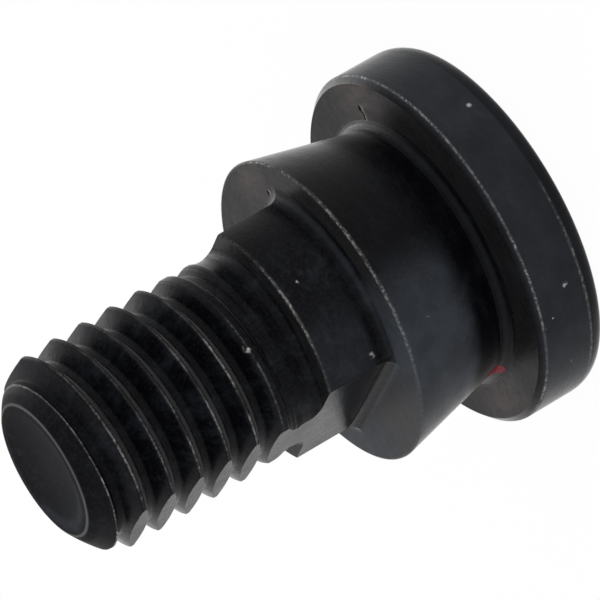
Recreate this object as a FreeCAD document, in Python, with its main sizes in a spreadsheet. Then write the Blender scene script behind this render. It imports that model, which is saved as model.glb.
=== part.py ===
import FreeCAD, Part
import math
import os

import Sketcher

# Blade bolt. It stands on the flat outer face of its head: origin at that face's centre,
# +Z along the axis towards the tip of the thread, +X square to one of the two flats.

SIZES = {
    # Round head
    "head_diameter": 17.5,
    "head_thickness": 3.5,
    "head_outer_chamfer_width": 0.42,
    "head_outer_chamfer_height": 0.75,
    "head_inner_edge_chamfer": 0.35,
    # Shoulder that seats the blade, wider at its free end than at the head
    "shoulder_length": 5.75,
    "shoulder_head_diameter": 12.35,
    "shoulder_end_diameter": 15.0,
    "shoulder_root_share": 0.33,
    "shoulder_end_break": 0.1,
    # Neck whose two flats key into a slot
    "neck_length": 3.4,
    "neck_diameter": 11.6,
    "neck_root_share": 0.47,
    "neck_end_break": 0.08,
    # Shank from the neck to the tip, and the unthreaded blank at its start
    "shank_length": 11.5,
    "blank_length": 1.6,
    "blank_diameter": 9.1,
    "blank_root_share": 0.32,
    # Right-hand thread, rolled up out of the blank
    "thread_pitch": 1.5,
    "thread_angle": 60.0,
    "crest_diameter": 9.85,
    "crest_width": 0.22,
    "crest_rise_length": 1.4,
    "groove_diameter": 8.16,
    "groove_end": 2.67,
    "groove_fade_turns": 1.0,
    # Tip
    "tip_diameter": 6.5,
    "tip_chamfer_length": 1.5,
    "tip_edge_break": 0.18,
    "tip_dish_diameter": 5.4,
    "tip_dish_depth": 0.15,
    # Two parallel flats along neck, blank and thread
    "flats_across": 8.7,
    "flats_root_fillet": 0.45,
    # How far a cut reaches past the metal that it opens
    "cut_overrun": 0.3,
}

# Heights above the head's outer face, as formulas in the sheet's sizes
SHOULDER_END = "(Sizes.head_thickness + Sizes.shoulder_length)"
NECK_END = f"({SHOULDER_END} + Sizes.neck_length)"
TIP = f"({NECK_END} + Sizes.shank_length)"
GROOVE_END = f"({NECK_END} + Sizes.groove_end)"

# Radii of the rounded roots, each a share of the step that it stands in
SHOULDER_ROOT = "Sizes.shoulder_root_share * (Sizes.head_diameter - Sizes.shoulder_head_diameter) / 2"
NECK_ROOT = "Sizes.neck_root_share * (Sizes.shoulder_end_diameter - Sizes.neck_diameter) / 2"
BLANK_ROOT = "Sizes.blank_root_share * (Sizes.neck_diameter - Sizes.blank_diameter) / 2"

# Distances from the axis
CREST = "Sizes.crest_diameter / 2"
GROOVE = "Sizes.groove_diameter / 2"
FLAT = "Sizes.flats_across / 2"

# A sketch numbers its own two axes from -1 down, and the points of a line or an arc from 1 up
X_AXIS, Z_AXIS = range(-1, -3, -1)
START, END, CENTRE = range(1, 4)

doc = FreeCAD.newDocument("blade_bolt")
sheet = doc.addObject("Spreadsheet::Sheet", "Sizes")
for row, (alias, size) in enumerate(SIZES.items(), start=1):
    sheet.set(f"A{row}", alias)
    sheet.set(f"B{row}", str(size))
    sheet.setAlias(f"B{row}", alias)
doc.recompute()

body = doc.addObject("PartDesign::Body", "Bolt")
body.Label = "blade_bolt"


def origin_plane(role):
    return next(item for item in body.Origin.OriginFeatures if item.Role == role)


def number(formula):
    """The present value of a formula in the sheet's sizes."""
    return float(sheet.evalExpression(formula))


def new_sketch(name):
    """A sketch on the plane through the axis: its x is the distance from the axis, its y the height."""
    sketch = body.newObject("Sketcher::SketchObject", name)
    sketch.AttachmentSupport = [(origin_plane("XZ_Plane"), "")]
    sketch.MapMode = "FlatFace"
    return sketch


def tie(sketch, kind, line, point, formula):
    """Binds one coordinate of a sketch point to a formula; one of "0" puts it on the axis."""
    if formula == "0":
        axis = Z_AXIS if kind == "DistanceX" else X_AXIS
        sketch.addConstraint(Sketcher.Constraint("PointOnObject", line, point, axis))
        return
    index = sketch.addConstraint(Sketcher.Constraint(kind, X_AXIS, START, line, point, number(formula)))
    sketch.setExpression(f"Constraints[{index}]", formula)


def draw_outline(sketch, corners):
    """A closed outline of straight lines, each corner given by its formulas for x and y."""
    points = [FreeCAD.Vector(number(x), number(y), 0) for x, y in corners]
    for start, end in zip(points, points[1:] + points[:1]):
        sketch.addGeometry(Part.LineSegment(start, end))
    for line, (x, y) in enumerate(corners):
        sketch.addConstraint(Sketcher.Constraint("Coincident", line, END, (line + 1) % len(corners), START))
        tie(sketch, "DistanceX", line, START, x)
        tie(sketch, "DistanceY", line, START, y)


def ring(radius, height):
    """The name of the body's circular edge of this radius at this height."""
    doc.recompute()
    for index, edge in enumerate(body.Tip.Shape.Edges, start=1):
        if not isinstance(edge.Curve, Part.Circle):
            continue
        same_radius = math.isclose(edge.Curve.Radius, number(radius), abs_tol=1e-5)
        if same_radius and math.isclose(edge.Curve.Center.z, number(height), abs_tol=1e-5):
            return f"Edge{index}"
    raise ValueError(f"no edge of radius {radius} at {height}")


def dress_ring(kind, name, radius, height, amount):
    """Rounds or chamfers the edge of this radius at this height."""
    edge = ring(radius, height)
    dressing = body.newObject(f"PartDesign::{kind}", name)
    dressing.Base = (dressing.BaseFeature, [edge])
    dressing.setExpression("Radius" if kind == "Fillet" else "Size", amount)


# Turned form: head, shoulder, neck, blank, rise to the thread's crests, tip
turning = new_sketch("TurningOutline")
draw_outline(turning, [
    ("0", "0"),
    ("Sizes.head_diameter / 2 - Sizes.head_outer_chamfer_width", "0"),
    ("Sizes.head_diameter / 2", "Sizes.head_outer_chamfer_height"),
    ("Sizes.head_diameter / 2", "Sizes.head_thickness"),
    ("Sizes.shoulder_head_diameter / 2", "Sizes.head_thickness"),
    ("Sizes.shoulder_end_diameter / 2", SHOULDER_END),
    ("Sizes.neck_diameter / 2", SHOULDER_END),
    ("Sizes.neck_diameter / 2", NECK_END),
    ("Sizes.blank_diameter / 2", NECK_END),
    ("Sizes.blank_diameter / 2", f"{NECK_END} + Sizes.blank_length"),
    (CREST, f"{NECK_END} + Sizes.blank_length + Sizes.crest_rise_length"),
    (CREST, f"{TIP} - Sizes.tip_chamfer_length"),
    ("Sizes.tip_diameter / 2", TIP),
    ("0", TIP),
])
turned = body.newObject("PartDesign::Revolution", "Turned")
turned.Profile = turning
turned.ReferenceAxis = (turning, ["V_Axis"])
turned.Angle = 360

dress_ring("Chamfer", "HeadInnerEdge", "Sizes.head_diameter / 2", "Sizes.head_thickness",
           "Sizes.head_inner_edge_chamfer")
dress_ring("Fillet", "ShoulderRoot", "Sizes.shoulder_head_diameter / 2", "Sizes.head_thickness", SHOULDER_ROOT)
dress_ring("Chamfer", "ShoulderEndEdge", "Sizes.shoulder_end_diameter / 2", SHOULDER_END,
           "Sizes.shoulder_end_break")
dress_ring("Fillet", "NeckRoot", "Sizes.neck_diameter / 2", SHOULDER_END, NECK_ROOT)
dress_ring("Chamfer", "NeckEndEdge", "Sizes.neck_diameter / 2", NECK_END, "Sizes.neck_end_break")
dress_ring("Fillet", "BlankRoot", "Sizes.blank_diameter / 2", NECK_END, BLANK_ROOT)
dress_ring("Chamfer", "TipEdge", "Sizes.tip_diameter / 2", TIP, "Sizes.tip_edge_break")

# Shallow dish in the tip's end face: its arc is centred on the axis and passes through the rim
dish = new_sketch("TipDish")
rim = number("Sizes.tip_dish_diameter / 2")
depth = number("Sizes.tip_dish_depth")
top = number(TIP)
bottom = FreeCAD.Vector(0, top - depth, 0)
dish_radius = (rim ** 2 + depth ** 2) / (2 * depth)
half_angle = math.asin(rim / dish_radius)
circle = Part.Circle(FreeCAD.Vector(0, bottom.y + dish_radius, 0), FreeCAD.Vector(0, 0, 1), dish_radius)
dish.addGeometry(Part.ArcOfCircle(circle, -math.pi / 2, half_angle - math.pi / 2))
dish.addGeometry(Part.LineSegment(FreeCAD.Vector(rim, top, 0), FreeCAD.Vector(0, top, 0)))
dish.addGeometry(Part.LineSegment(FreeCAD.Vector(0, top, 0), bottom))
for edge, following in ((0, 1), (1, 2), (2, 0)):
    dish.addConstraint(Sketcher.Constraint("Coincident", edge, END, following, START))
dish.addConstraint(Sketcher.Constraint("PointOnObject", 0, CENTRE, Z_AXIS))
tie(dish, "DistanceX", 0, END, "Sizes.tip_dish_diameter / 2")
tie(dish, "DistanceY", 0, END, TIP)
tie(dish, "DistanceX", 1, END, "0")
tie(dish, "DistanceY", 1, END, TIP)
tie(dish, "DistanceX", 0, START, "0")
tie(dish, "DistanceY", 0, START, f"{TIP} - Sizes.tip_dish_depth")
dished = body.newObject("PartDesign::Groove", "DishedTip")
dished.Profile = dish
dished.ReferenceAxis = (dish, ["V_Axis"])
dished.Angle = 360

# Two flats, each with its rounded root against the shoulder
FLAT_ROOT = f"{SHOULDER_END} + Sizes.flats_root_fillet"
PAST_NECK = f"Sizes.neck_diameter / 2 + {NECK_ROOT} + Sizes.cut_overrun"
PAST_TIP = f"{TIP} + Sizes.cut_overrun"
flat = new_sketch("FlatSection")
radius = number("Sizes.flats_root_fillet")
bend = FreeCAD.Vector(number(FLAT) + radius, number(FLAT_ROOT), 0)
foot = FreeCAD.Vector(bend.x, bend.y - radius, 0)
outer_foot = FreeCAD.Vector(number(PAST_NECK), foot.y, 0)
outer_top = FreeCAD.Vector(outer_foot.x, number(PAST_TIP), 0)
inner_top = FreeCAD.Vector(number(FLAT), outer_top.y, 0)
inner_foot = FreeCAD.Vector(inner_top.x, bend.y, 0)
arc = Part.ArcOfCircle(Part.Circle(bend, FreeCAD.Vector(0, 0, 1), radius), math.pi, 1.5 * math.pi)
flat.addGeometry(arc)
flat.addGeometry(Part.LineSegment(foot, outer_foot))
flat.addGeometry(Part.LineSegment(outer_foot, outer_top))
flat.addGeometry(Part.LineSegment(outer_top, inner_top))
flat.addGeometry(Part.LineSegment(inner_top, inner_foot))
for edge in range(5):
    flat.addConstraint(Sketcher.Constraint("Coincident", edge, END, (edge + 1) % 5, START))
tie(flat, "DistanceX", 0, START, FLAT)
tie(flat, "DistanceY", 0, START, FLAT_ROOT)
tie(flat, "DistanceX", 0, END, f"{FLAT} + Sizes.flats_root_fillet")
tie(flat, "DistanceY", 0, END, SHOULDER_END)
tie(flat, "DistanceX", 0, CENTRE, f"{FLAT} + Sizes.flats_root_fillet")
tie(flat, "DistanceX", 1, END, PAST_NECK)
tie(flat, "DistanceY", 1, END, SHOULDER_END)
tie(flat, "DistanceX", 2, END, PAST_NECK)
tie(flat, "DistanceY", 2, END, PAST_TIP)
tie(flat, "DistanceX", 3, END, FLAT)
tie(flat, "DistanceY", 3, END, PAST_TIP)
milled = body.newObject("PartDesign::Pocket", "Flat")
milled.Profile = flat
milled.SideType = "Symmetric"
milled.setExpression("Length", f"2 * ({PAST_NECK})")
doc.recompute()
opposite = body.newObject("PartDesign::Mirrored", "OppositeFlat")
opposite.Originals = [milled]
opposite.MirrorPlane = (origin_plane("YZ_Plane"), [""])
body.Tip = opposite
doc.recompute()

# Thread groove: its section lies where the full groove ends, between two crests. One helix carries it
# out past the tip, and a second, which widens towards the head, lets it fade out of the metal
HALF_MOUTH = "(Sizes.thread_pitch - Sizes.crest_width) / 2"
HALF_FLOOR = f"({HALF_MOUTH} - ({CREST} - {GROOVE}) * tan(Sizes.thread_angle / 2 * 1 deg))"
OUTSIDE = f"{CREST} + Sizes.cut_overrun"
section = new_sketch("GrooveSection")
draw_outline(section, [
    (GROOVE, f"{GROOVE_END} - {HALF_FLOOR}"),
    (CREST, f"{GROOVE_END} - {HALF_MOUTH}"),
    (OUTSIDE, f"{GROOVE_END} - {HALF_MOUTH}"),
    (OUTSIDE, f"{GROOVE_END} + {HALF_MOUTH}"),
    (CREST, f"{GROOVE_END} + {HALF_MOUTH}"),
    (GROOVE, f"{GROOVE_END} + {HALF_FLOOR}"),
])


def cut_groove(name, height, widening, towards_head):
    """Carries the groove's section along a right-hand helix of this height."""
    groove = body.newObject("PartDesign::SubtractiveHelix", name)
    groove.Profile = section
    groove.ReferenceAxis = (section, ["V_Axis"])
    groove.Mode = "pitch-height-angle"
    groove.LeftHanded = False
    groove.Reversed = towards_head
    groove.setExpression("Pitch", "Sizes.thread_pitch")
    groove.setExpression("Height", height)
    groove.setExpression("Angle", widening)
    doc.recompute()
    return groove


RISE = f"({CREST} - {GROOVE})"
FADE_HEIGHT = "Sizes.groove_fade_turns * Sizes.thread_pitch"
thread_groove = cut_groove("ThreadGroove", f"{TIP} - {GROOVE_END} + Sizes.thread_pitch", "0", False)
groove_fade = cut_groove("GrooveFade", FADE_HEIGHT, f"atan({RISE} / ({FADE_HEIGHT}))", True)
body.Tip = groove_fade

# Every feature has built, and each cut has taken metal away
for item in doc.Objects:
    if "Invalid" in item.State or "Error" in item.State:
        raise RuntimeError(f"{item.Name} has failed")
for cut in (dished, milled, opposite, thread_groove, groove_fade):
    if cut.Shape.Volume >= cut.BaseFeature.Shape.Volume:
        raise RuntimeError(f"{cut.Name} removes nothing")
if body.Shape.isNull() or not body.Shape.isValid() or len(body.Shape.Solids) != 1:
    raise RuntimeError("the bolt is not one sound solid")

os.makedirs("parts", exist_ok=True)
body.Shape.exportStep(f"parts/{body.Label}.step")
print(body.Label, "volume", round(body.Shape.Volume, 1), "height", round(body.Shape.BoundBox.ZLength, 3))
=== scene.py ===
import math

import bpy
from mathutils import Matrix, Vector


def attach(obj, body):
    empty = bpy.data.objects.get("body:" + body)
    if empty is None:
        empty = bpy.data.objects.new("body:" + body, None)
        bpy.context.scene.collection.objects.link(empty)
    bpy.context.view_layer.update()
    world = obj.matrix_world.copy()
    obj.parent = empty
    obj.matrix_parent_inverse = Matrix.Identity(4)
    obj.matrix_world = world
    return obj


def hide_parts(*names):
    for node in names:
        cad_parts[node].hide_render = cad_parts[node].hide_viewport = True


MM = 0.001

# Sizes of the bolt, in millimetres
HEAD_RADIUS = 8.75
HEAD_THICKNESS = 3.5
HEAD_OUTER_ROUND = (0.48, 0.78)
HEAD_INNER_CHAMFER = 0.32
SHOULDER_HEAD_RADIUS = 6.175
SHOULDER_END_RADIUS = 7.5
SHOULDER_END = HEAD_THICKNESS + 5.75
SHOULDER_ROOT_ROUND = 0.5
NECK_RADIUS = 5.8
NECK_ROOT_ROUND = 0.55
NECK_END = SHOULDER_END + 3.4
BLANK_RADIUS = 4.55
BLANK_ROUND = 0.4
TIP = NECK_END + 11.5
TIP_RADIUS = 3.25
TIP_CHAMFER = 1.5
TIP_CHAMFER_BULGE = 0.12
TIP_ROUND = 0.22
DISH_RADIUS = 2.85
DISH_DEPTH = 0.27
EDGE_BREAK = 0.08
FLAT = 4.35
FLAT_ROOT_ROUND = 0.62

# The thread. The walls of its groove stand at 60 degrees to each other, so each of them gains WALL_SLOPE in
# radius for each millimetre along the axis
PITCH = 1.5
CREST_RADIUS = 4.925
CREST_WIDTH = 0.18
GROOVE_RADIUS = 4.08
WALL_SLOPE = math.sqrt(3)
HALF_MOUTH = (PITCH - CREST_WIDTH) / 2
HALF_FLOOR = HALF_MOUTH - (CREST_RADIUS - GROOVE_RADIUS) / WALL_SLOPE
CHAMFER_SLOPE = (CREST_RADIUS - TIP_RADIUS) / TIP_CHAMFER

# The groove lies a little deeper in the tip's chamfer, from one of these heights to the other
LAST_GROOVE_DEEPER = 0.126
LAST_GROOVE_START = TIP - 2.15
LAST_GROOVE_DEEPEST = TIP - 1.25

# The thread's run-out. Its steps are turns along the helix, counted towards the tip from the end of the full
# groove: the last crest stands out of the blank between the first two and grows to a full one between the
# other two. The groove fades out over the turns behind its end
GROOVE_END = NECK_END + 2.67
LAST_CREST_RADIUS = 4.74
CREST_STARTS = -1.5
LAST_CREST_STANDS = -0.95
CREST_GROWS = 0.0
CREST_FULL = 0.5
GROOVE_FADES = 1.8
CREST_HELD_BACK = 0.65

# How much the crests' edges are rounded, and how far and how fast that grows where the groove fades
CREST_SOFT = 0.04
RUN_OUT_SOFT_REACH = 0.3
RUN_OUT_SOFT_GROWTH = 0.14

# The thread's mesh: its limits along the axis, its turns, and how many of them lie behind the groove's end
THREAD_LOW = NECK_END + BLANK_ROUND + 0.05
THREAD_HIGH = TIP - 0.4
TURNS = 9
TURNS_BEHIND = 3

# How fine the mesh is, and below which bend its edges are shaded smooth
COLUMNS = 256
ROUNDING_STEP = 0.11
WELD = 0.0003
SMOOTH_BELOW = math.radians(28)

# The lengths that the node tree of the shape takes as its inputs, in millimetres
LENGTHS = {
    "Pitch": PITCH,
    "Crest Radius": CREST_RADIUS,
    "Groove Radius": GROOVE_RADIUS,
    "Blank Radius": BLANK_RADIUS,
    "Last Groove Deeper": LAST_GROOVE_DEEPER,
    "Last Groove Start": LAST_GROOVE_START,
    "Last Groove Deepest": LAST_GROOVE_DEEPEST,
    "Groove End": GROOVE_END,
    "Last Crest Radius": LAST_CREST_RADIUS,
    "Crest Held Back": CREST_HELD_BACK,
    "Tip Height": TIP,
    "Tip Radius": TIP_RADIUS,
    "Tip Chamfer": TIP_CHAMFER,
    "Chamfer Bulge": TIP_CHAMFER_BULGE,
    "Thread Low": THREAD_LOW,
    "Thread High": THREAD_HIGH,
    "Flat": FLAT,
    "Flat Foot": SHOULDER_END,
    "Flat Root Round": FLAT_ROOT_ROUND,
}

# Small marks, each with its azimuth in degrees, radius, height and size
BRIGHT_MARKS = (
    (46.2, HEAD_RADIUS, 1.67, 0.2),
    (38.4, HEAD_RADIUS, 2.66, 0.08),
    (40.9, HEAD_RADIUS, 2.18, 0.08),
    (18.1, HEAD_RADIUS, 1.86, 0.1),
    (55.7, 7.12, 7.62, 0.12),
    (47.5, NECK_RADIUS, 10.18, 0.22),
    (92.1, NECK_RADIUS, 11.71, 0.12),
    (78.1, BLANK_RADIUS + 0.2, NECK_END + 2.3, 0.3),
)
BRIGHT_SPECK = (107.4, HEAD_RADIUS, 1.29, 0.17)
DARK_PITS = (
    (149.2, 7.19, HEAD_THICKNESS, 0.24),
    (147.7, 5.95, SHOULDER_END, 0.2),
    (148.5, 7.0, HEAD_THICKNESS, 0.12),
    (148.5, 6.86, HEAD_THICKNESS, 0.12),
    (148.5, 6.72, HEAD_THICKNESS, 0.12),
)
HEAD_PIT = (35.4, HEAD_RADIUS, 3.09, 0.16)
PAINT_SPECK = (-1.5, 6.42, 4.05, 0.85)

# Colours of the surface
OXIDE = (0.0018, 0.0018, 0.0026, 1)
# The dull coating, whose colour also serves the painted light on one side of the shoulder and neck, in the
# roots and on the dish's rim
DULL_AND_LIT_OXIDE = (0.024, 0.027, 0.032, 1)
# The paler, mottled painted sheen on one side of the shoulder
MOTTLED_SHEEN = (0.036, 0.042, 0.05, 1)
# The painted beige light on the faces that look along the axis
BEIGE_LIGHT = (0.06, 0.047, 0.041, 1)
# The painted shade inside the dark pits
PIT_SHADE = (0.001, 0.001, 0.001, 1)
# Bare steel, and also the colour of the painted sheen where the coating is seen slantwise
BARE_STEEL_AND_SHEEN = (0.46, 0.45, 0.43, 1)
RED_PAINT = (0.16, 0.005, 0.012, 1)

# The photograph's view: its focal length and the place of the axis where it leaves the head, in pixels
FRAME_PIXELS = 600
FOCAL_PIXELS = 5647
AXIS_POINT_PIXELS = (428.74, 248.65)
AXIS_POINT_HEIGHT = 3.142
MM_PER_PIXEL = 0.0448
AZIMUTH = math.radians(75.8)
ELEVATION = math.radians(21.93)
SLOPE = math.radians(29.92)
SENSOR_WIDTH = 36

# The stage, in metres, and the lamp's power in watts
FLOOR_HALF_WIDTH = 1.5
FLOOR_GAP = 0.02 * MM
LAMP_AZIMUTH = math.radians(215)
LAMP_ELEVATION = math.radians(12)
LAMP_DISTANCE = 0.2
LAMP_WIDTH = 0.12
LAMP_POWER = 0.12


class Value:
    """An output socket in a node tree; arithmetic on it adds Math nodes."""

    def __init__(self, tree, socket):
        self.tree = tree
        self.socket = socket

    def math(self, operation, *values):
        return self.tree.node("ShaderNodeMath", {"operation": operation}, dict(enumerate(values)))

    def __add__(self, other):
        return self.math("ADD", self, other)

    def __radd__(self, other):
        return self.math("ADD", other, self)

    def __sub__(self, other):
        return self.math("SUBTRACT", self, other)

    def __rsub__(self, other):
        return self.math("SUBTRACT", other, self)

    def __mul__(self, other):
        return self.math("MULTIPLY", self, other)

    def __rmul__(self, other):
        return self.math("MULTIPLY", other, self)

    def __truediv__(self, other):
        return self.math("DIVIDE", self, other)

    def __pow__(self, other):
        return self.math("POWER", self, other)

    def __abs__(self):
        return self.math("ABSOLUTE", self)


class Tree:
    """A node tree, written as expressions."""

    def __init__(self, tree):
        self.tree = tree

    def node(self, kind, settings=None, sockets=None, output=0):
        """Adds a node, sets it up, then feeds its sockets; gives the named or numbered output.

        A socket takes a plain value, a Value, or a list of Values where it joins several."""
        made = self.tree.nodes.new(kind)
        for name, setting in (settings or {}).items():
            setattr(made, name, setting)
        for name, fed in (sockets or {}).items():
            for value in fed if isinstance(fed, list) else [fed]:
                if isinstance(value, Value):
                    self.tree.links.new(value.socket, made.inputs[name])
                else:
                    made.inputs[name].default_value = value
        return Value(self, made.outputs[output]) if made.outputs else None

    def vector(self, x, y, z=0.0):
        return self.node("ShaderNodeCombineXYZ", None, {0: x, 1: y, 2: z})

    def part(self, vector, axis):
        return self.node("ShaderNodeSeparateXYZ", None, {0: vector}, axis)


def fresh_tree(owner):
    """The emptied node tree of a material or a world."""
    owner.use_nodes = True
    owner.node_tree.nodes.clear()
    return Tree(owner.node_tree)


def smallest(a, b):
    return a.math("MINIMUM", a, b)


def largest(first, *others):
    for other in others:
        first = first.math("MAXIMUM", first, other)
    return first


def below(a, b):
    return a.math("LESS_THAN", a, b)


def root(a):
    return a.math("SQRT", a)


def whole(a):
    return a.math("FLOOR", a)


def nearest(a):
    return a.math("ROUND", a)


def cosine(a):
    return a.math("COSINE", a)


def sine(a):
    return a.math("SINE", a)


def remainder(a, b):
    return a.math("FLOORED_MODULO", a, b)


def share(value, start, end):
    """How far a value has come from start to end, between 0 and 1."""
    return smallest(largest((value - start) / (end - start), 0.0), 1.0)


def outline(name, strokes):
    """A curve of straight strokes in the plane through the axis.

    Each corner of a stroke is (radius, height, rounding)."""
    curve = bpy.data.curves.new(name, "CURVE")
    curve.dimensions = "3D"
    for corners in strokes:
        spline = curve.splines.new("POLY")
        spline.points.add(len(corners) - 1)
        for point, (radius, height, rounding) in zip(spline.points, corners):
            point.co = (radius * MM, 0, height * MM, 1)
            point.radius = rounding * MM
    made = bpy.data.objects.new(name, curve)
    bpy.context.scene.collection.objects.link(made)
    return made


def between(start, end, parts):
    """The plain points that divide a straight line into equal parts."""
    return [(start[0] + (end[0] - start[0]) * i / parts, start[1] + (end[1] - start[1]) * i / parts, 0)
            for i in range(1, parts)]


def chamfer_radius(depth):
    """Radius of the tip's slightly bulging chamfer at this depth below the tip's face."""
    down = depth / TIP_CHAMFER
    return TIP_RADIUS + depth * CHAMFER_SLOPE + down * (1 - down) * (4 * TIP_CHAMFER_BULGE)


def head_outer_edge():
    """The head's outer edge, rounded off as a quarter of an ellipse."""
    width, height = HEAD_OUTER_ROUND
    steps = 7
    turns = [math.pi / 2 * i / steps for i in range(steps + 1)]
    return [(HEAD_RADIUS - width * (1 - math.sin(turn)), height * (1 - math.cos(turn)), 0) for turn in turns]


def head_to_blank():
    return [
        (0, 0, 0),
        *head_outer_edge(),
        (HEAD_RADIUS, HEAD_THICKNESS - HEAD_INNER_CHAMFER, 0.06),
        (HEAD_RADIUS - HEAD_INNER_CHAMFER, HEAD_THICKNESS, 0.06),
        (SHOULDER_HEAD_RADIUS, HEAD_THICKNESS, SHOULDER_ROOT_ROUND),
        (SHOULDER_END_RADIUS, SHOULDER_END, EDGE_BREAK),
        (NECK_RADIUS, SHOULDER_END, NECK_ROOT_ROUND),
        (NECK_RADIUS, NECK_END, EDGE_BREAK),
        (BLANK_RADIUS, NECK_END, BLANK_ROUND),
        (BLANK_RADIUS, THREAD_LOW, 0),
    ]


def chamfer_to_tip():
    rings = 6
    outward = [i / rings for i in range(rings, -1, -1)]
    dish = [(DISH_RADIUS * out, TIP - DISH_DEPTH * (1 - out ** 2), 0) for out in outward]
    chamfer = [(chamfer_radius(TIP - height), height, 0) for height in (THREAD_HIGH, THREAD_HIGH + 0.1)]
    return [*chamfer, (TIP_RADIUS, TIP, TIP_ROUND), *dish]


def groove_to_groove():
    """One turn of the thread's section, from the middle of a groove to the middle of the next."""
    wall_points = 6
    foot = (GROOVE_RADIUS, HALF_FLOOR)
    top = (CREST_RADIUS, HALF_MOUTH)
    far_top = (CREST_RADIUS, PITCH - HALF_MOUTH)
    far_foot = (GROOVE_RADIUS, PITCH - HALF_FLOOR)
    return [
        (GROOVE_RADIUS, 0, 0),
        (*foot, 0.15),
        *between(foot, top, wall_points),
        (*top, 0.06),
        (CREST_RADIUS, PITCH / 2, 0),
        (*far_top, 0.06),
        *between(far_top, far_foot, wall_points),
        (*far_foot, 0.15),
        (GROOVE_RADIUS, PITCH, 0),
    ]


def bolt_tree():
    """Spins the outlines round the axis, winds the thread's section up the shank and mills the two flats."""
    group = bpy.data.node_groups.new("bolt_shape", "GeometryNodeTree")
    kinds = {
        "Outlines": "NodeSocketGeometry",
        "Columns": "NodeSocketInt",
        "Chamfer Slope": "NodeSocketFloat",
        "Material": "NodeSocketMaterial",
        **dict.fromkeys(LENGTHS, "NodeSocketFloat"),
    }
    ports = {name: group.interface.new_socket(name, in_out="INPUT", socket_type=kind)
             for name, kind in kinds.items()}
    group.interface.new_socket("Bolt", in_out="OUTPUT", socket_type="NodeSocketGeometry")
    tree = Tree(group)
    size = {name: tree.node("NodeGroupInput", None, None, name) for name in ports}

    rounding = tree.node("GeometryNodeInputRadius")
    rounded = tree.node("GeometryNodeFilletCurve", {"mode": "POLY"}, {
        "Curve": size["Outlines"], "Count": rounding / (ROUNDING_STEP * MM) + 2,
        "Radius": rounding, "Limit Radius": True})
    position = tree.node("GeometryNodeInputPosition")
    number = tree.node("GeometryNodeInputIndex")

    def stroke(wanted):
        this_one = tree.node("FunctionNodeCompare", {"data_type": "INT", "operation": "EQUAL"},
                             {"A": number, "B": wanted})
        return tree.node("GeometryNodeSeparateGeometry", {"domain": "CURVE"},
                         {"Geometry": rounded, "Selection": this_one})

    def wound(rows, radius_and_height):
        """A sheet of rows bent round the axis; radius_and_height gives both from row and angle."""
        sheet = tree.node("GeometryNodeMeshGrid", None, {
            "Size X": 1.0, "Size Y": 1.0, "Vertices X": rows, "Vertices Y": size["Columns"] + 1})
        row = nearest((tree.part(position, 0) + 0.5) * (rows - 1))
        angle = (tree.part(position, 1) + 0.5) * math.tau
        radius, height = radius_and_height(row, angle)
        place = tree.vector(radius * cosine(angle), radius * sine(angle), height)
        return tree.node("GeometryNodeSetPosition", None, {"Geometry": sheet, "Position": place})

    def sampled(curve, index):
        settings = {"data_type": "FLOAT_VECTOR", "domain": "POINT", "clamp": True}
        return tree.node("GeometryNodeSampleIndex", settings, {0: curve, 1: position, 2: index})

    def point_count(curve):
        return tree.node("GeometryNodeAttributeDomainSize", {"component": "CURVE"}, {0: curve}, "Point Count")

    def spun(curve):
        def along(row, angle):
            place = sampled(curve, row)
            return tree.part(place, 0), tree.part(place, 2)
        return wound(point_count(curve), along)

    base, tip, section = stroke(0), stroke(1), stroke(2)
    rows_a_turn = point_count(section) - 1
    first_groove = size["Groove End"] - size["Pitch"] * TURNS_BEHIND

    def thread(row, angle):
        """The smaller radius of the groove and of the metal that it is cut into, with their height."""
        # a row's number is whole, and the small addition keeps rounding from dropping it to the turn before
        turn = whole(row / rows_a_turn + 0.0001)
        place = sampled(section, row - turn * rows_a_turn)
        up = tree.part(place, 2)
        height = first_groove + size["Pitch"] * (turn + angle / math.tau) + up
        height = smallest(largest(height, size["Thread Low"]), size["Thread High"])

        # The groove: flatter from half a turn behind its end, and rising out of the metal
        nearer_next = below(size["Pitch"] * 0.5, up)
        turned = (turn - TURNS_BEHIND + nearer_next) * math.tau + angle
        behind = largest(0 - turned, 0.0)
        flatter = share(turned, -math.pi, -math.tau) * 0.5
        depth = (tree.part(place, 0) - size["Groove Radius"]) * (1 - flatter)
        deeper = share(height, size["Last Groove Start"], size["Last Groove Deepest"])
        rise = (size["Crest Radius"] - size["Groove Radius"]) * (1 / (GROOVE_FADES * math.tau))
        groove = size["Groove Radius"] + depth - deeper * size["Last Groove Deeper"] + behind * rise

        # The metal: the blank with the crests that grow on it, inside the tip's bulging cone
        crest_turn = turn + (0.5 - TURNS_BEHIND) + angle / math.tau
        last = share(crest_turn, CREST_STARTS, LAST_CREST_STANDS)
        full = share(crest_turn, CREST_GROWS, CREST_FULL)
        grown = (size["Last Crest Radius"] - size["Blank Radius"]) * last
        grown = grown + (size["Crest Radius"] - size["Last Crest Radius"]) * full
        held_back = smallest((height - size["Thread Low"]) / size["Crest Held Back"], 1.0)
        crests = size["Blank Radius"] + grown * (held_back * held_back)
        below_tip = size["Tip Height"] - height
        down = smallest(below_tip / size["Tip Chamfer"], 1.0)
        bulge = down * (1 - down) * (size["Chamfer Bulge"] * 4)
        metal = smallest(crests, size["Tip Radius"] + below_tip * size["Chamfer Slope"] + bulge)

        reach = smallest(height - size["Thread Low"], RUN_OUT_SOFT_REACH * MM)
        softening = behind * reach * RUN_OUT_SOFT_GROWTH + CREST_SOFT * MM
        return metal.math("SMOOTH_MIN", groove, metal, softening), height

    sheets = [spun(base), wound(rows_a_turn * TURNS + 1, thread), spun(tip)]
    joined = tree.node("GeometryNodeJoinGeometry", None, {0: sheets})
    outward = tree.node("GeometryNodeFlipFaces", None, {"Mesh": joined})
    closed = tree.node("GeometryNodeMergeByDistance", None, {"Geometry": outward, "Distance": WELD * MM})

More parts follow.
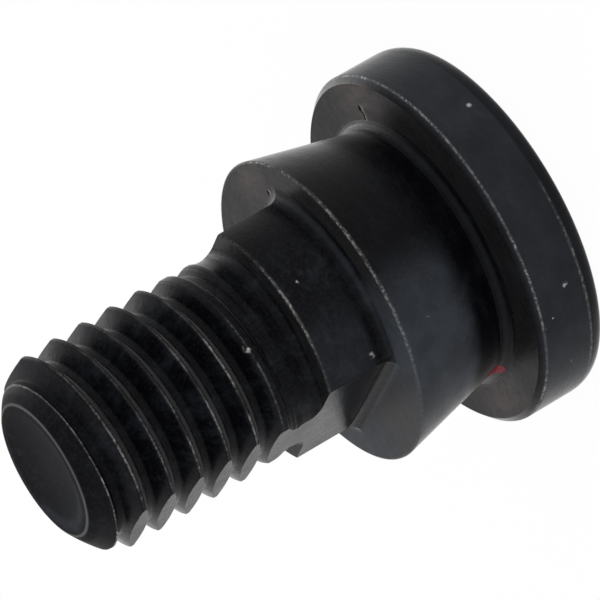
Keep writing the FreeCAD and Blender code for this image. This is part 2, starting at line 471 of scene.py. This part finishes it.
    far = 10 * MM
    top = size["Tip Height"] + far
    section_cut = tree.node("GeometryNodeCurvePrimitiveQuadrilateral", {"mode": "POINTS"}, {
        "Point 1": tree.vector(size["Flat"], size["Flat Foot"]),
        "Point 2": tree.vector(far, size["Flat Foot"]),
        "Point 3": tree.vector(far, top),
        "Point 4": tree.vector(size["Flat"], top)})
    section_cut = tree.node("GeometryNodeFilletCurve", {"mode": "POLY"}, {
        "Curve": section_cut, "Count": 8, "Radius": below(number, 0.5) * size["Flat Root Round"],
        "Limit Radius": True})
    path = tree.node("GeometryNodeCurvePrimitiveLine", None, {"Start": (0, 0, -far), "End": (0, 0, far)})
    cutter = tree.node("GeometryNodeCurveToMesh", None, {
        "Curve": path, "Profile Curve": section_cut, "Fill Caps": True})
    upright = tree.node("GeometryNodeTransform", None, {"Geometry": cutter, "Rotation": (math.pi / 2, 0, 0)})
    opposite = tree.node("GeometryNodeTransform", None, {"Geometry": upright, "Rotation": (0, 0, math.pi)})
    milled = tree.node("GeometryNodeMeshBoolean", {"operation": "DIFFERENCE", "solver": "MANIFOLD"}, {
        "Mesh 1": closed, "Mesh 2": [upright, opposite]})

    smooth = tree.node("GeometryNodeSetShadeSmooth", {"domain": "EDGE"}, {
        "Geometry": milled, "Shade Smooth": below(tree.node("GeometryNodeInputMeshEdgeAngle"), SMOOTH_BELOW)})
    real = tree.node("GeometryNodeRealizeInstances", None, {"Geometry": smooth})
    dressed = tree.node("GeometryNodeSetMaterial", None, {"Geometry": real, "Material": size["Material"]})
    tree.node("NodeGroupOutput", None, {0: dressed})
    return group, {name: port.identifier for name, port in ports.items()}


def make_bolt(material):
    source = outline("bolt_outlines", [head_to_blank(), chamfer_to_tip(), groove_to_groove()])
    group, sockets = bolt_tree()
    modifier = source.modifiers.new("shape", "NODES")
    modifier.node_group = group
    for name, length in LENGTHS.items():
        modifier[sockets[name]] = length * MM
    modifier[sockets["Columns"]] = COLUMNS
    modifier[sockets["Chamfer Slope"]] = CHAMFER_SLOPE
    modifier[sockets["Material"]] = material
    graph = bpy.context.evaluated_depsgraph_get()
    mesh = bpy.data.meshes.new_from_object(source.evaluated_get(graph))
    bpy.data.objects.remove(source)
    bolt = bpy.data.objects.new("bolt", mesh)
    bpy.context.scene.collection.objects.link(bolt)
    return bolt


def ramp(value, low, high):
    """0 below low, 1 above high and a smooth rise between; with low over high it falls."""
    return value.tree.node("ShaderNodeMapRange", {"interpolation_type": "SMOOTHSTEP"}, {
        "Value": value, "From Min": low, "From Max": high})


def laid_over(colour, amount, other):
    """The first colour with this amount of the other laid over it."""
    return amount.tree.node("ShaderNodeMix", {"data_type": "RGBA"}, {
        "Factor": amount, "A": colour, "B": other}, "Result")


class Surface:
    """Where a point of the bolt's surface lies, in millimetres, and the patterns that its coating shows."""

    def __init__(self, tree):
        self.tree = tree
        self.place = tree.node("ShaderNodeTexCoord", None, None, "Object")
        self.x, self.y, self.z = (tree.part(self.place, axis) / MM for axis in range(3))
        self.r = root(self.x * self.x + self.y * self.y)
        self.lathe = self.noise(8.0, 2.0, 0.6, 1.0, self.drawn_round(0.9))
        self.grain = self.noise(7.0, 4.0, 0.65, 2.0)
        self.lumps = self.noise(0.55, 4.0, 0.6, 3.0)
        self.patches = self.noise(0.22, 2.0, 0.5, 4.0)
        self.smears = self.noise(1.3, 6.0, 0.75, 6.0, self.drawn_round(3.5))

    def drawn_round(self, width):
        """Coordinates that draw a pattern out round the axis, the more the smaller the width is."""
        reach = largest(self.r, 1.6)
        return self.tree.vector(self.x / reach * (width * MM), self.y / reach * (width * MM),
                                (self.z + reach) * MM)

    def noise(self, scale, detail, rough, seed, place=None):
        """Noise between 0 and 1 whose lumps are about 1/scale millimetres wide."""
        return self.tree.node("ShaderNodeTexNoise", {"noise_dimensions": "4D"}, {
            "Vector": self.place if place is None else place, "W": seed, "Scale": scale / MM,
            "Detail": detail, "Roughness": rough}, "Fac")

    def facing_side(self, azimuth):
        """1 on the side of the bolt at this azimuth, -1 on the opposite side."""
        turn = math.radians(azimuth)
        return (self.x * math.cos(turn) + self.y * math.sin(turn)) / largest(self.r, 0.1)

    def near_ring(self, radius, height, size):
        """1 on a ring round the axis, falling to 0 at this distance from it."""
        across = self.r - radius
        along = self.z - height
        return ramp(root(across * across + along * along), size, 0.0)

    def spot(self, azimuth, radius, height, size):
        """1 at one point of the surface, falling to 0 at this distance from it."""
        turn = math.radians(azimuth)
        dx = self.x - radius * math.cos(turn)
        dy = self.y - radius * math.sin(turn)
        dz = self.z - height
        return ramp(root(dx * dx + dy * dy + dz * dz), size, 0.0)


def bare_metal(here):
    """How bare the steel lies: in broken lines on the crests and rims, and at a few small marks."""
    z, r = here.z, here.r
    uneven = ramp(here.patches, 0.35, 0.6)
    chips = ramp(here.noise(6.0, 4.0, 0.7, 7.0), 0.46, 0.62)

    angle = here.y.math("ARCTAN2", here.y, here.x)
    above_groove = remainder(z - GROOVE_END - angle * (PITCH / math.tau), PITCH)
    from_groove = smallest(above_groove, PITCH - above_groove)
    on_crest = ramp(from_groove, PITCH / 2 - 0.07, PITCH / 2 - 0.02)
    on_crest = on_crest * ramp(r, CREST_RADIUS - 0.3, CREST_RADIUS - 0.1)
    on_crest = on_crest * ramp(z, NECK_END + 1.6, NECK_END + 2.4) * ramp(z, TIP - 1.2, TIP - 1.6)
    on_crest = on_crest * (0.25 + ramp(here.facing_side(0), -0.64, 0.17) * 0.5)
    broken = ramp(here.lumps, 0.42, 0.6) * ramp(here.grain, 0.35, 0.6)
    crests = on_crest * (0.04 + broken * (0.1 + uneven * 0.5))

    shoulder_rim = here.near_ring(SHOULDER_END_RADIUS, SHOULDER_END, 0.2)
    inner_rim = here.near_ring(HEAD_RADIUS - 0.04, HEAD_THICKNESS - HEAD_INNER_CHAMFER + 0.06, 0.1)
    outer_rim = here.near_ring(HEAD_RADIUS, HEAD_OUTER_ROUND[1], 0.11) * ramp(here.facing_side(32), 0.6, 1.0)
    rims = largest(shoulder_rim, inner_rim, outer_rim * 0.8) * (0.08 + chips * (0.08 + uneven * 0.38))
    tip_rim = here.near_ring(TIP_RADIUS, TIP, 0.12) * (0.1 + here.lumps * 0.24)
    most_worn = here.spot(84, NECK_RADIUS, NECK_END, 3.0) * 0.7
    neck_rim = here.near_ring(NECK_RADIUS, NECK_END, 0.16) * (0.12 + most_worn) * (0.2 + chips * 0.8)

    # The lip that the last groove leaves on the tip's chamfer, where the groove's wall meets the cone
    wall = GROOVE_RADIUS - LAST_GROOVE_DEEPER + (above_groove - HALF_FLOOR) * WALL_SLOPE
    on_wall = ramp(abs(r - wall), 0.2, 0.05)
    on_cone = ramp(abs(r - chamfer_radius(TIP - z)), 0.12, 0.03) * ramp(z, TIP - 1.45, TIP - 1.2)
    lip = on_wall * on_cone * (0.1 + chips * (0.25 + ramp(here.facing_side(30), 0.5, 1.0) * 0.45))

    marks = largest(*(here.spot(*mark) for mark in BRIGHT_MARKS))
    marks = marks * ramp(here.noise(5.0, 2.0, 0.6, 5.0), 0.48, 0.6)
    marks = largest(marks, here.spot(*BRIGHT_SPECK))
    return largest(rims, crests, tip_rim, neck_rim, lip, marks * 0.9)


def rubbed_thin(here):
    """How thin the coating is rubbed, by scratches round the axis, scuffs and its own grain."""
    scratches = ramp(here.lathe, 0.66, 0.74) * ramp(here.patches, 0.42, 0.6)
    scuffs = ramp(here.smears, 0.42, 0.72) * ramp(here.lumps, 0.35, 0.65)
    return scuffs * 0.7 + scratches * 0.3 + ramp(here.grain, 0.42, 0.75) * 0.28


def painted_beige_light(here):
    """Painted beige light, in soft patches, on the two faces that look along the axis."""
    beige_patches = here.spot(150, 7.6, HEAD_THICKNESS, 3.2) + here.spot(-15, 7.6, HEAD_THICKNESS, 3.6)
    beige_patches = beige_patches + here.spot(160, 6.9, SHOULDER_END, 2.8) + here.spot(5, 6.6, SHOULDER_END, 4.0) * 0.7
    on_faces = ramp(abs(here.z - HEAD_THICKNESS) * abs(here.z - SHOULDER_END), 0.4, 0.1)
    return beige_patches * ramp(here.smears, 0.3, 0.6) * on_faces


def black_oxide():
    """Blackened steel, rubbed bright where the bolt has been handled and turned, with painted light, shade
    and sheen.
    """
    material = bpy.data.materials.new("black_oxide_steel")
    tree = fresh_tree(material)
    here = Surface(tree)
    z, r = here.z, here.r
    lumps, grain, smears = here.lumps, here.grain, here.smears

    on_head = ramp(z, HEAD_THICKNESS, HEAD_THICKNESS - HEAD_INNER_CHAMFER)
    on_outer_edge = ramp(z, HEAD_OUTER_ROUND[1] + 0.05, HEAD_OUTER_ROUND[1] - 0.1) * ramp(z, 0.0, 0.1)
    on_shoulder = ramp(z, SHOULDER_END + 0.1, SHOULDER_END)
    on_neck = ramp(r, NECK_RADIUS - 0.2, NECK_RADIUS - 0.1)
    on_neck = on_neck * ramp(z, SHOULDER_END + 0.6, SHOULDER_END + 1.0)
    at_tip = ramp(z, TIP - TIP_CHAMFER, TIP - TIP_CHAMFER + 0.2)
    # Painted shadow: the part of each flat that lies in the shade of the shoulder, whose coating is kept
    # darker
    off_axis = abs(here.x)
    shoulder_shadow = ramp(FLAT + 0.1 - off_axis, 0.0, 0.05) * ramp(off_axis, FLAT - 0.05, FLAT)
    shoulder_shadow = shoulder_shadow * ramp(z - here.y * 0.34, SHOULDER_END + 2.05, SHOULDER_END + 1.65)
    shoulder_shadow = shoulder_shadow * ramp(z, SHOULDER_END + 0.05, SHOULDER_END + 0.2)
    # Painted shade: the coating is darker, and smoother, on the flats in the shoulder's shadow and on the
    # head's outer rounded edge
    painted_shade = (1 - shoulder_shadow * 0.7) * (1 - on_outer_edge * 0.6)

    # The head is duller than the rest. One side of the shoulder and of the neck is painted lighter and duller
    # as a sheen from soft light; painted highlights lie in the middles of the rounded roots, and painted
    # light on one side of the dish's rim
    sheen_side = ramp(here.facing_side(-20) - (lumps - 0.5) * 0.5, -0.24, 0.21)
    sheen_side = sheen_side * ramp(z, HEAD_THICKNESS + 1.5, HEAD_THICKNESS + 2.9)
    dull_and_lit = largest(on_head * 0.75, sheen_side * largest(on_shoulder, on_neck * 0.45))
    dull_and_lit = dull_and_lit * (0.1 + lumps * 1.1 + smears * 0.6) * (1 + on_shoulder * 0.2 * sheen_side)
    dull_and_lit = dull_and_lit + rubbed_thin(here) * (1 - on_shoulder * (1 - sheen_side) * 0.6)
    # Painted highlights: lighter bands in the middles of the rounded roots, where the fillets face the light
    neck_root_highlight = here.near_ring(NECK_RADIUS + 0.17, SHOULDER_END + 0.17, 0.24)
    neck_root_highlight = neck_root_highlight * ramp(z, SHOULDER_END - 0.02, SHOULDER_END + 0.1)
    shoulder_root_highlight = here.near_ring(SHOULDER_HEAD_RADIUS + 0.16, HEAD_THICKNESS + 0.16, 0.22) * 0.6
    dull_and_lit = dull_and_lit + largest(neck_root_highlight, shoulder_root_highlight) * (0.2 + smears * 0.4)
    # Painted light: the dish's rim is lighter on one side
    dish_rim_light = here.near_ring(DISH_RADIUS - 0.15, TIP, 0.45) * ramp(here.facing_side(-15), 0.2, 0.9)
    dull_and_lit = dull_and_lit + dish_rim_light * 0.7

    # Painted sheen: a paler colour, mottled by the coating's own lumps and grain, on the lit side of the
    # shoulder
    mottled_sheen = on_shoulder * sheen_side * (ramp(lumps, 0.4, 0.6) * 0.9 + (grain - 0.5) * 0.9 + 0.15)
    # Painted shade: the dark pits and the crack are coloured nearly black, as the shade inside them
    dark_pits = largest(*(here.spot(*pit) for pit in DARK_PITS))
    pits = largest(dark_pits, here.spot(*HEAD_PIT))
    coating = laid_over(OXIDE, dull_and_lit * painted_shade, DULL_AND_LIT_OXIDE)
    coating = laid_over(coating, mottled_sheen, MOTTLED_SHEEN)
    coating = laid_over(coating, painted_beige_light(here), BEIGE_LIGHT)
    coating = laid_over(coating, dark_pits * 2, PIT_SHADE)

    roughness = 0.15 + lumps * 0.16 + smears * 0.1 + dull_and_lit * 0.12 + at_tip * 0.25
    roughness = (roughness + ramp(z, TIP - 0.4, TIP - 0.2) * 0.15) * painted_shade
    relief = grain * 0.5 + here.lathe * 0.5 + lumps * 1.6 + smears - pits * 6
    bump = tree.node("ShaderNodeBump", None, {"Strength": 0.5, "Distance": 0.03 * MM, "Height": relief})

    # Painted sheen: where the coating is seen very slantwise, its colour is turned towards bright steel and
    # made metallic, so that it looks mirror-like
    facing = tree.node("ShaderNodeLayerWeight", None, {"Blend": 0.5, "Normal": bump}, "Facing")
    painted_sheen = facing ** 8 * (0.6 + on_shoulder * 0.4 + on_neck * 0.25)
    painted_sheen = painted_sheen * (1 - at_tip) * (1 - shoulder_shadow) * (1 - on_outer_edge)
    painted_sheen = painted_sheen * (1 - smallest(pits * 2, 0.9))
    # Bare steel where the coating is worn, together with the painted sheen
    wear_and_sheen = largest(bare_metal(here), painted_sheen)

    painted = ramp(here.spot(*PAINT_SPECK) + (lumps - 0.5) * 0.5 + (grain - 0.5) * 0.4, 0.22, 0.34)
    shader = tree.node("ShaderNodeBsdfPrincipled", None, {
        "Base Color": laid_over(laid_over(coating, wear_and_sheen, BARE_STEEL_AND_SHEEN), painted, RED_PAINT),
        "Metallic": wear_and_sheen * (1 - painted), "Roughness": roughness, "IOR": 1.15, "Normal": bump})
    tree.node("ShaderNodeOutputMaterial", None, {"Surface": shader})
    return material


def direction(azimuth, elevation):
    """The unit vector that points at this azimuth and elevation."""
    level = math.cos(elevation)
    return Vector((level * math.cos(azimuth), level * math.sin(azimuth), math.sin(elevation)))


def place_camera():
    """The photograph's camera, which looks down on the bolt from the tip's side.

    It is rolled, so that the axis runs down to the left."""
    back = direction(AZIMUTH, ELEVATION)
    axis_seen = (Vector((0, 0, 1)) - back * back.z).normalized()
    beside = back.cross(axis_seen)
    right = beside * math.sin(SLOPE) - axis_seen * math.cos(SLOPE)
    up = axis_seen * -math.sin(SLOPE) - beside * math.cos(SLOPE)
    pixel = MM_PER_PIXEL * MM
    centre = FRAME_PIXELS / 2
    place = Vector((0, 0, AXIS_POINT_HEIGHT * MM)) + back * (FOCAL_PIXELS * pixel)
    place -= right * ((AXIS_POINT_PIXELS[0] - centre) * pixel)
    place += up * ((AXIS_POINT_PIXELS[1] - centre) * pixel)
    data = bpy.data.cameras.new("camera")
    data.sensor_width = SENSOR_WIDTH
    data.lens = SENSOR_WIDTH * FOCAL_PIXELS / FRAME_PIXELS
    data.clip_start = 0.01
    data.clip_end = 10
    camera = bpy.data.objects.new("camera", data)
    camera.matrix_world = Matrix.Translation(place) @ Matrix((right, up, back)).transposed().to_4x4()
    bpy.context.scene.collection.objects.link(camera)
    bpy.context.scene.camera = camera


def place_floor():
    """A pale floor just below the head, which the camera and reflections see as nearly white."""
    half = FLOOR_HALF_WIDTH
    corners = [(-half, -half, -FLOOR_GAP), (half, -half, -FLOOR_GAP), (half, half, -FLOOR_GAP),
               (-half, half, -FLOOR_GAP)]
    data = bpy.data.meshes.new("floor")
    data.from_pydata(corners, [], [(0, 1, 2, 3)])
    floor = bpy.data.objects.new("floor", data)
    bpy.context.scene.collection.objects.link(floor)
    material = bpy.data.materials.new("pale_floor")
    tree = fresh_tree(material)
    camera, glossy, through = (
        tree.node("ShaderNodeLightPath", None, None, f"Is {kind} Ray")
        for kind in ("Camera", "Glossy", "Transmission"))
    plain = tree.node("ShaderNodeBsdfDiffuse", None, {"Color": (0.85, 0.85, 0.85, 1)})
    white = tree.node("ShaderNodeEmission", None, {"Color": (1, 1, 1, 1)})
    mixed = tree.node("ShaderNodeMixShader", None, {0: camera * 0.97 + glossy + through, 1: plain, 2: white})
    tree.node("ShaderNodeOutputMaterial", None, {"Surface": mixed})
    data.materials.append(material)


def light_world():
    """Soft light from all round, with a white background for the camera."""
    world = bpy.data.worlds.new("studio")
    bpy.context.scene.world = world
    tree = fresh_tree(world)
    ray = tree.node("ShaderNodeLightPath", None, None, "Is Camera Ray")
    surround = tree.node("ShaderNodeBackground", None, {"Color": (0.95, 0.95, 0.97, 1)})
    white = tree.node("ShaderNodeBackground", None, {"Color": (1, 1, 1, 1)})
    mixed = tree.node("ShaderNodeMixShader", None, {0: ray, 1: surround, 2: white})
    tree.node("ShaderNodeOutputWorld", None, {"Surface": mixed})


def place_softbox():
    """A square lamp that stands low on the left and faces the middle of the bolt."""
    data = bpy.data.lights.new("left_softbox", "AREA")
    data.size = LAMP_WIDTH
    data.energy = LAMP_POWER
    lamp = bpy.data.objects.new("left_softbox", data)
    towards = direction(LAMP_AZIMUTH, LAMP_ELEVATION)
    middle = Vector((0, 0, TIP / 2 * MM))
    facing = towards.to_track_quat("Z", "Y").to_matrix().to_4x4()
    lamp.matrix_world = Matrix.Translation(middle + towards * LAMP_DISTANCE) @ facing
    bpy.context.scene.collection.objects.link(lamp)


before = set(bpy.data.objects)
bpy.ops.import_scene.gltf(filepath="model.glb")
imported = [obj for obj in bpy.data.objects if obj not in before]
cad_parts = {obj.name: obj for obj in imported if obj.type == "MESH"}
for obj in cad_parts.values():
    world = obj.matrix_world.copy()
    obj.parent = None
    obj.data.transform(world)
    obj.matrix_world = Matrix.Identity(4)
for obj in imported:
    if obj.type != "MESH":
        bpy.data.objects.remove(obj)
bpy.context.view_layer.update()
bpy.context.scene.view_settings.view_transform = "Standard"
place_camera()
place_floor()
light_world()
place_softbox()
bolt = make_bolt(black_oxide())
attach(bolt, "root")
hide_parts("blade_bolt")
